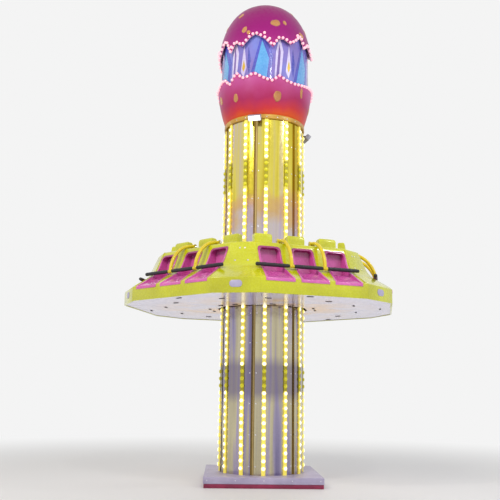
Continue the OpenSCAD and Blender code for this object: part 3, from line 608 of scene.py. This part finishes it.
shard = {"sheet": 0.004, "round": 0.012, "bevelIn": 0.003, "bevelUp": 0.0015, "sunk": 0.001, "foot": 0.03,
         "strip": 0.05, "repeats": 6, "shapes": [
    # each: paint, level, and its corners as distance along the drum and height above the band's foot
    ("deep", 0, [(-0.36, 0.00), (0.04, 0.00), (0.11, 0.50), (-0.10, 1.00)]),
    ("sky", 1, [(-0.29, 0.00), (-0.02, 0.00), (0.03, 0.45), (-0.10, 0.82)]),
    ("pale", 0, [(0.13, 0.00), (0.25, 0.00), (0.31, 0.62), (0.23, 0.92), (0.16, 0.60)]),
    ("violet", 1, [(0.165, 0.08), (0.22, 0.08), (0.25, 0.60), (0.22, 0.76)]),
    ("pale", 0, [(0.36, 0.24), (0.42, 0.10), (0.48, 0.30), (0.43, 0.78)]),
    ("gold", 1, [(0.39, 0.30), (0.42, 0.22), (0.455, 0.32), (0.425, 0.46)]),
    ("deep", 0, [(-0.39, 0.34), (-0.35, 0.16), (-0.315, 0.44), (-0.36, 0.72)])]}
shardPaints = {"deep": gelcoat("deep blue gloss", "#4A52BC", "#3C3C9C", 0.22),
               "sky": gelcoat("sky blue gloss", "#5CA8D8", "#4C8CCC", 0.22),
               "pale": gelcoat("lilac white gloss", "#DAD2E8", "#C2B8DC", 0.22),
               "violet": gelcoat("violet gloss", "#7C64AC", "#685094", 0.22),
               "gold": gelcoat("gold yellow gloss", "#DDBE1C", "#C8A010", 0.22)}
bandLow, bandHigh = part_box("egg_band")
drumRadius = bandHigh.x


def modelShard(corners, level):
    bpy.ops.object.select_all(action="DESELECT")
    bpy.ops.mesh.primitive_circle_add(vertices=len(corners), radius=0.1, fill_type="NGON")
    piece = bpy.context.object
    order = sorted(range(len(corners)),
                   key=lambda i: math.atan2(*reversed(piece.data.vertices[i].co.xy)) % fullTurn)
    for i, (x, z) in zip(order, corners):
        piece.data.vertices[i].co = (x, z, 0)
    bpy.ops.object.mode_set(mode="EDIT")
    bpy.ops.mesh.select_all(action="SELECT")
    bpy.ops.mesh.bevel(offset=shard["round"], segments=2, affect="VERTICES")
    bpy.ops.mesh.select_all(action="SELECT")
    bpy.ops.mesh.extrude_region_move(TRANSFORM_OT_translate={"value": (0, 0, shard["sheet"] * (level + 1))})
    bpy.ops.mesh.inset(thickness=shard["bevelIn"], depth=0)
    bpy.ops.transform.translate(value=(0, 0, shard["bevelUp"]))
    low = min(x for x, z in corners)
    for cut in range(1, math.ceil((max(x for x, z in corners) - low) / shard["strip"])):
        bpy.ops.mesh.select_all(action="SELECT")
        bpy.ops.mesh.bisect(plane_co=(low + cut * shard["strip"], 0, 0), plane_no=(1, 0, 0))
    bpy.ops.object.mode_set(mode="OBJECT")
    return piece


for paint in shardPaints:
    pieces = []
    for kind, level, corners in shard["shapes"]:
        if kind == paint:
            master = modelShard(corners, level)
            for k in range(shard["repeats"]):
                piece = placedCopy(master, Matrix(), "shard")
                for point in piece.data.vertices:
                    turn = k * fullTurn / shard["repeats"] + point.co.x / drumRadius
                    reach = drumRadius - shard["sunk"] + point.co.z
                    height = bandLow.z + shard["foot"] + point.co.y
                    point.co = (reach * math.sin(turn), -reach * math.cos(turn), height)
                pieces.append(piece)
            bpy.data.objects.remove(master)
    whole = joinPieces(pieces, "band_shards_" + paint)
    pickOnly(whole)
    bpy.ops.object.mode_set(mode="EDIT")
    bpy.ops.mesh.select_all(action="SELECT")
    bpy.ops.mesh.normals_make_consistent(inside=False)
    bpy.ops.object.mode_set(mode="OBJECT")
    smoothShade(whole, 20)
    ridePiece(whole, "tower", "band_paint", shardPaints[paint])
print("band shards made")


# Lamps on the column: cap lenses in a chase, lit but for the groups that rest

lamp = {"radius": 0.038, "height": 0.025, "rim": 0.005, "pitch": 0.125, "first": 0.05, "around": 12,
        "strips": 12}


def modelLamp(name, core):  # a stepped bezel with a domed cap, whose crown shines brightest
    bpy.ops.object.select_all(action="DESELECT")
    bpy.ops.mesh.primitive_cylinder_add(vertices=lamp["around"], radius=lamp["radius"], depth=lamp["rim"],
                                        end_fill_type="NGON", location=(0, 0, lamp["rim"] / 2))
    piece = applyPlace(bpy.context.object)
    piece.name = name
    bpy.ops.object.mode_set(mode="EDIT")
    selectFaces(piece, lambda face: face.normal.z < -0.9)
    bpy.ops.mesh.delete(type="FACE")
    selectFaces(piece, lambda face: face.normal.z > 0.9)
    bpy.ops.mesh.inset(thickness=lamp["radius"] * 0.12, depth=0)
    for share, rise in ((0.9, 0.5), (0.76, 0.3), (0.45, 0.2)):
        lift = (lamp["height"] - lamp["rim"]) * rise
        bpy.ops.mesh.extrude_region_move(TRANSFORM_OT_translate={"value": (0, 0, lift)})
        bpy.ops.transform.resize(value=(share, share, 1))
    bpy.ops.object.mode_set(mode="OBJECT")
    smoothShade(piece, 50)
    if core:
        piece.data.materials.append(litLens)
        piece.data.materials.append(litCore)
        crown = lamp["rim"] + 0.45 * (lamp["height"] - lamp["rim"])
        for face in piece.data.polygons:
            face.material_index = 1 if face.center.z > crown else 0
    return piece


stripLow, stripHigh = (corner.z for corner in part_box("lamp_strips"))
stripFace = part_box("lamp_strips")[1].x
lampCount = int((stripHigh - stripLow - lamp["first"]) / lamp["pitch"])
lit, resting = [], []
for strip in range(lamp["strips"]):
    for row in range(lampCount):
        z = stripLow + lamp["first"] + (row + 0.5) * lamp["pitch"]
        place = facing(strip * fullTurn / lamp["strips"]) @ Matrix.Translation((0, stripFace, z))
        place = place @ Matrix.Rotation(-math.pi / 2, 4, "X")
        (resting if any(foot < z < top for foot, top in restingBands) else lit).append(place)
ridePiece(stampCopies(modelLamp("litLamp", True), lit, "lit_lamps"), "tower", "lamp_channel", litLens)
ridePiece(stampCopies(modelLamp("restingLamp", False), resting, "resting_lamps"),
          "tower", "lamp_channel", restingLens)
print("column lamps:", len(lit), "lit,", len(resting), "resting")


# Globes along both cracked rims: the rims' heights are read from the shells

globe = {"radius": 0.028, "spacing": 0.092, "out": 0.014, "back": 0.030, "socket": 0.006,
         "strays": [(-4, 0.12), (2, 0.10), (-47, 0.10), (40, 0.09), (98, 0.12), (160, 0.10)]}


def rimPoints(tree, solid, gone, spacing):  # points along a ragged rim, an even distance apart
    rim = []
    for step in range(720):
        angle = step * fullTurn / 720
        z = rimHeight(tree, angle, solid, gone)
        radius = shellRadius(tree, angle, z)
        rim.append(Vector((radius * math.sin(angle), -radius * math.cos(angle), z)))
    rim.append(rim[0])
    lengths = [(q - p).length for p, q in zip(rim, rim[1:])]
    count = round(sum(lengths) / spacing)
    gap = sum(lengths) / count
    points, walked = [], 0
    for (p, q), length in zip(zip(rim, rim[1:]), lengths):
        while len(points) < count and len(points) * gap <= walked + length:
            points.append(p.lerp(q, (len(points) * gap - walked) / max(length, 1e-9)))
        walked += length
    return points


def modelGlobe():  # a frosted bulb in a short socket
    bpy.ops.object.select_all(action="DESELECT")
    bpy.ops.mesh.primitive_uv_sphere_add(segments=10, ring_count=7, radius=globe["radius"])
    piece = applyPlace(bpy.context.object)
    bpy.ops.object.mode_set(mode="EDIT")
    selectFaces(piece, lambda face: face.center.y < -globe["radius"] * 0.62)
    bpy.ops.mesh.extrude_region_move(TRANSFORM_OT_translate={"value": (0, -globe["socket"], 0)})
    bpy.ops.object.mode_set(mode="OBJECT")
    smoothShade(piece, 60)
    return piece


globePlaces = []
# each: the shell, a height at which it is solid and one at which it is gone, and the way back from its rim
for tree, solid, gone, towards in ((upperTree, 8.35, 7.80, 1), (lowerTree, 7.20, 7.48, -1)):
    rim = rimPoints(tree, solid, gone, globe["spacing"])
    spots = [(math.atan2(p.x, -p.y), p.z + towards * globe["back"]) for p in rim]
    if towards == 1:
        spots += [(math.radians(turn), rimHeight(tree, math.radians(turn), solid, gone) + above)
                  for turn, above in globe["strays"]]
    for angle, z in spots:
        radius = shellRadius(tree, angle, z) or shellRadius(tree, angle, rimHeight(tree, angle, solid, gone))
        globePlaces.append(facing(angle) @ Matrix.Translation((0, radius + globe["out"], z)))
ridePiece(stampCopies(modelGlobe(), globePlaces, "rim_globes"), "tower", "egg_gloss", rimGlobe)
print("rim globes:", len(globePlaces))


# Fasteners: domed screws and hexagon nuts, each kind modelled once and set on the faces that carry it

# radius, height and number of sides of each head
fastener = {"screw": (0.011, 0.003, 8), "rivet": (0.014, 0.005, 10), "bolt": (0.008, 0.004, 6),
            "nut": (0.017, 0.010, 6)}
# distances from the middle line, first heights and spacings up the column, and the nuts' place on the pins
fixing = {"screwSide": 0.058, "screwFirst": 0.32, "screwGap": 0.52,
          "boltSide": 0.0186, "boltFirst": 0.30, "boltGap": 0.30, "plinthUp": 0.125,
          "collarUp": 0.035, "collarCount": 24, "nutSeat": 0.006}


def modelHead(radius, height, around):  # a low domed head, or a bevelled nut where it has six sides
    bpy.ops.object.select_all(action="DESELECT")
    bpy.ops.mesh.primitive_cylinder_add(vertices=around, radius=radius, depth=height,
                                        end_fill_type="NGON", location=(0, 0, height / 2))
    piece = applyPlace(bpy.context.object)
    bpy.ops.object.mode_set(mode="EDIT")
    selectFaces(piece, lambda face: face.normal.z > 0.9)
    bpy.ops.mesh.inset(thickness=radius * 0.3, depth=0)
    bpy.ops.transform.translate(value=(0, 0, height * 0.4))
    bpy.ops.mesh.inset(thickness=radius * 0.35, depth=0)
    bpy.ops.transform.translate(value=(0, 0, height * 0.2 if around > 6 else -height * 0.5))
    bpy.ops.object.mode_set(mode="OBJECT")
    smoothShade(piece, 30)
    return piece


def setFasteners(kind, places, name, body, slotName):
    ridePiece(stampCopies(modelHead(*fastener[kind]), places, name), body, slotName, zincSteel)


pylonTree = nodeTree("corner_pylons")
rivetPlaces = [onFace(pylonTree, turn, x, z) for turn in cornerTurns
               for x, z in ((-0.035, 3.84), (0.045, 3.84), (-0.105, 3.62), (0.105, 3.62))]
setFasteners("rivet", rivetPlaces, "pylon_rivets", "gondola", "bearing_steel")

claddingTree = nodeTree("mirror_panels")
edgeScrews = [onFace(claddingTree, math.radians(-15 + 60 * k), side * fixing["screwSide"],
                     fixing["screwFirst"] + row * fixing["screwGap"])
              for k in range(6) for side in (-1, 1) for row in range(12)]
setFasteners("screw", edgeScrews, "cladding_screws", "tower", "mirror_steel")

railTree = nodeTree("guide_rails")
railBolts = [onFace(railTree, math.radians(-15 + 60 * k), side * fixing["boltSide"],
                    fixing["boltFirst"] + row * fixing["boltGap"])
             for k in range(6) for side in (-1, 1) for row in range(21)]
setFasteners("bolt", railBolts, "rail_bolts", "tower", "mast_steel")

plinthTree = nodeTree("base_plinth")
plinthScrews = [onFace(plinthTree, math.radians(90 * k), x, fixing["plinthUp"])
                for k in range(4) for x in (-0.94, -0.47, 0, 0.47, 0.94)]
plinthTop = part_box("base_plinth")[1].z
rows = (-0.95, -0.32, 0.32, 0.95)  # screws in rows over the plinth's top, clear of the column
plinthScrews += [Matrix.Translation((x, y, plinthTop)) for x in rows for y in rows if math.hypot(x, y) > 0.9]
setFasteners("screw", plinthScrews, "plinth_screws", "tower", "plinth_paint")

collarTree = nodeTree("column_head")
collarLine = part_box("column_head")[0].z + fixing["collarUp"]
collarTurns = [k * fullTurn / fixing["collarCount"] for k in range(fixing["collarCount"])]
collarScrews = [onFace(collarTree, turn, 0, collarLine) for turn in collarTurns]
setFasteners("screw", collarScrews, "collar_screws", "tower", "head_paint")

toSide = facing(sideTurns[0]).inverted()
pivot = toSide @ Vector(barJoint["pos_m"])
pinEnds = [p.x for p in (toSide @ point.co for point in frame["nodes"]["bar_pivots"].data.vertices)
           if p.x > 0 and math.hypot(p.y - pivot.y, p.z - pivot.z) < 0.02]
nutPlaces = []
for turn in sideTurns:
    for side in (-1, 1):
        for x, way in ((max(pinEnds) - fixing["nutSeat"], 1), (min(pinEnds) + fixing["nutSeat"], -1)):
            pinEnd = Matrix.Translation((side * x, pivot.y, pivot.z))
            nutPlaces.append(facing(turn) @ (pinEnd @ Matrix.Rotation(side * way * math.pi / 2, 4, "Y")))
setFasteners("nut", nutPlaces, "pivot_nuts", "gondola", "bearing_steel")
allPlaces = (rivetPlaces, edgeScrews, railBolts, plinthScrews, collarScrews, nutPlaces)
print("fasteners set:", sum(len(places) for places in allPlaces))


# Floodlights on the collar: the housing's edges rounded, and a lens drawn out of its hollow. The flat rim
# round the hollow stays in triangles, because one polygon can't have a hole.

flood = {"seatIn": 0.003, "seatOut": 0.009, "edgeIn": 0.012, "edgeOut": 0.003, "smallest": 0.012}


def isHollow(face):  # the large face that looks outwards and down
    return face.area > flood["smallest"] and face.normal.z < -0.3 and face.normal.xy.dot(face.center.xy) > 0.2


housings = softenedCopy("floodlights", "flood_housings", moulding["housingEdge"], 2, 0)
lenses = weldedCopy("floodlights", "flood_lenses")
bpy.ops.object.mode_set(mode="EDIT")
selectFaces(lenses, lambda face: not isHollow(face))
bpy.ops.mesh.delete(type="FACE")
bpy.ops.mesh.select_all(action="SELECT")
bpy.ops.mesh.inset(thickness=flood["seatIn"], depth=flood["seatOut"])
bpy.ops.mesh.inset(thickness=flood["edgeIn"], depth=flood["edgeOut"])
bpy.ops.object.mode_set(mode="OBJECT")
smoothShade(lenses, 50)
ridePiece(housings, "tower", "flood_housing", housingPaint, "floodlights")
ridePiece(lenses, "tower", "flood_housing", floodFace)
print("floodlights made")


# Foam on the lap bars: split-tube grips, a little fuller in the middle and pinched at their ends

foam = {"swell": 0.0025, "rings": 26, "around": 24, "endRound": 0.012, "endCuts": (0.002, 0.006),
        "crease": 0.0009, "proudest": 0.0012}


def foamSpans():  # the foam's lengths on the first bar: sideways from and to, outwards, up and radius
    pickOnly(weldedCopy("bar_pad_1", "spans"))
    bpy.ops.object.mode_set(mode="EDIT")
    bpy.ops.mesh.select_all(action="SELECT")
    bpy.ops.mesh.separate(type="LOOSE")
    bpy.ops.object.mode_set(mode="OBJECT")
    spans = []
    for part in list(bpy.context.selected_objects):
        points = [toSide @ point.co for point in part.data.vertices]
        xs, ys, zs = ([p[axis] for p in points] for axis in range(3))
        out, up = (min(ys) + max(ys)) / 2, (min(zs) + max(zs)) / 2
        spans.append((min(xs), max(xs), out, up, (max(zs) - min(zs)) / 2))
        bpy.data.objects.remove(part)
    return sorted(spans)


def modelFoam(low, high, radius, name):
    length = high - low
    bpy.ops.object.select_all(action="DESELECT")
    bpy.ops.mesh.primitive_cylinder_add(
        vertices=foam["around"], radius=radius, depth=length, end_fill_type="NGON",
        rotation=(0, math.pi / 2, 0), location=((low + high) / 2, 0, 0))
    piece = applyPlace(bpy.context.object)
    piece.name = name
    bpy.ops.object.mode_set(mode="EDIT")
    cuts = list(foam["endCuts"]) + [length * i / foam["rings"] for i in range(1, foam["rings"])]
    for cut in cuts + [length - end for end in reversed(foam["endCuts"])]:
        bpy.ops.mesh.select_all(action="SELECT")
        bpy.ops.mesh.bisect(plane_co=(low + cut, 0, 0), plane_no=(1, 0, 0))
    bpy.ops.object.mode_set(mode="OBJECT")
    wander = random.Random(7)
    phases = [wander.uniform(0, fullTurn) for _ in range(4)]
    for point in piece.data.vertices:
        x, reach = point.co.x, math.hypot(point.co.y, point.co.z)
        share = min(max((x - low) / length, 0), 1)
        fullness = foam["swell"] * (math.sin(math.pi * share) ** 0.5 - 0.6)
        crease = foam["crease"] * sum(math.sin(x * f + phase) for f, phase in zip((41, 67, 97, 139), phases))
        pinch = foam["endRound"] * 0.6 * max(0, 1 - min(x - low, high - x) / foam["endRound"]) ** 2
        if reach > 1e-6:
            scale = (reach + min(fullness + crease, foam["proudest"]) - pinch) / reach
            point.co.y *= scale
            point.co.z *= scale
    smoothShade(piece, 60)
    return piece


spans = foamSpans()
masters = [modelFoam(low, high, radius, "foamLength") for low, high, out, z, radius in spans]
for k, turn in enumerate(sideTurns):
    parts = [placedCopy(master, facing(turn) @ Matrix.Translation((0, out, z)), "part")
             for master, (_, _, out, z, _) in zip(masters, spans)]
    whole = joinPieces(parts, "bar_foam_%d" % (k + 1))
    ridePiece(whole, "lap_bar_%d" % (k + 1), "bar_foam", foamVinyl, "bar_pad_%d" % (k + 1))
for master in masters:
    bpy.data.objects.remove(master)
print("lap bar foam made:", len(spans), "lengths on each bar")


# Stage: a pale floor that melts into white surroundings, soft lamps, and the camera at the photograph's angle

stage = {"floorSize": 120, "floor": "#E4E3E1", "surround": "#F4F4F4", "fadeFrom": 4.0, "fadeTo": 13.0}
bpy.ops.object.select_all(action="DESELECT")
bpy.ops.mesh.primitive_plane_add(size=stage["floorSize"])
floor = bpy.context.object
floor.name = "studio_floor"
floorFinish, floorShader = newFinish("pale studio vinyl", Base_Color=srgb(stage["floor"]), Roughness=0.55)
floorPlace = ownPlace(floorFinish)
grain = addNode(floorFinish, "TexNoise", {"Vector": floorPlace, "Scale": 4, "Detail": 3})
grainBump = addNode(floorFinish, "Bump", {"Height": grain.outputs["Fac"], "Strength": 0.02, "Distance": 0.01})
floorFinish.node_tree.links.new(grainBump.outputs["Normal"], floorShader.inputs["Normal"])
away = addNode(floorFinish, "VectorMath", {0: floorPlace}, operation="LENGTH")
farShare = addNode(floorFinish, "MapRange", {"Value": away.outputs["Value"], "From Min": stage["fadeFrom"],
                                             "From Max": stage["fadeTo"]}, interpolation_type="SMOOTHSTEP")
farFloor = addNode(floorFinish, "Emission", {"Color": srgb(stage["surround"]), "Strength": 1.0})
floorMix = addNode(floorFinish, "MixShader", {0: farShare.outputs["Result"], 1: floorShader.outputs[0],
                                              2: farFloor.outputs[0]})
floorEnd = floorFinish.node_tree.nodes["Material Output"]
floorFinish.node_tree.links.new(floorMix.outputs[0], floorEnd.inputs["Surface"])
floor.data.materials.append(floorFinish)

world = bpy.data.worlds.new("studio")
bpy.context.scene.world = world
world.use_nodes = True
world.node_tree.nodes.clear()
rayKind = addNode(world, "LightPath")
glossOrGlass = addNode(world, "Math", {0: rayKind.outputs["Is Glossy Ray"],
                                       1: rayKind.outputs["Is Transmission Ray"]}, operation="MAXIMUM")
seen = addNode(world, "Math", {0: rayKind.outputs["Is Camera Ray"], 1: glossOrGlass.outputs[0]},
               operation="MAXIMUM")
lighting = addNode(world, "Background", {"Color": srgb("#F2F3F7"), "Strength": 0.42})
shown = addNode(world, "Background", {"Color": srgb(stage["surround"]), "Strength": 1.0})
worldMix = addNode(world, "MixShader", {0: seen.outputs[0], 1: lighting.outputs[0], 2: shown.outputs[0]})
addNode(world, "OutputWorld", {"Surface": worldMix.outputs[0]})


def softLamp(name, place, aim, size, power, colour, mirrored=False):  # mirrors show only the mirrored ones
    light = bpy.data.lights.new(name, "AREA")
    light.shape = "DISK"
    light.size = size
    light.energy = power
    light.color = srgb(colour)[:3]
    lampObject = bpy.data.objects.new(name, light)
    bpy.context.scene.collection.objects.link(lampObject)
    lampObject.visible_glossy = mirrored
    lampObject.location = place
    lampObject.rotation_euler = (Vector(aim) - Vector(place)).to_track_quat("-Z", "Y").to_euler()


softLamp("key lamp", (-8, -11, 13), (0, 0, 4.5), 9, 1100, "#FFF8EE")
softLamp("fill lamp", (10, -9, 7), (0, 0, 4), 9, 500, "#EEF2FF")
softLamp("back lamp", (3, 12, 12), (0, 0, 5), 8, 600, "#FFFFFF")
softLamp("left spot", (-6, -7, 9.5), (0, 0, 4), 0.7, 130, "#FFFFFF", True)
softLamp("middle spot", (1.5, -9, 11), (0, 0, 4), 0.7, 130, "#FFFFFF", True)
softLamp("right spot", (7, -5, 10), (0, 0, 4), 0.7, 130, "#FFFFFF", True)

# distances in metres, angles in degrees, and the photograph's focal length and width in pixels
cameraFacts = {"distance": 13.3, "eyeHeight": 1.6, "around": -3.0, "pitch": 11.0, "yaw": 1.07, "roll": 0.8,
               "pixelFocal": 717, "pixelWidth": 500}
camera = bpy.data.cameras.new("camera")
camera.sensor_width = 36
camera.lens = camera.sensor_width * cameraFacts["pixelFocal"] / cameraFacts["pixelWidth"]
camera.clip_end = 200
cameraObject = bpy.data.objects.new("camera", camera)
bpy.context.scene.collection.objects.link(cameraObject)
around = math.radians(cameraFacts["around"])
distance, eyeHeight = cameraFacts["distance"], cameraFacts["eyeHeight"]
pitch, yaw = math.radians(90 + cameraFacts["pitch"]), math.radians(cameraFacts["yaw"])
cameraObject.location = (distance * math.sin(around), -distance * math.cos(around), eyeHeight)
cameraObject.rotation_euler = (pitch, 0, around + yaw)
cameraObject.rotation_euler.rotate_axis("Z", math.radians(cameraFacts["roll"]))
bpy.context.scene.camera = cameraObject
bpy.context.scene.view_settings.view_transform = "Standard"
print("stage set")
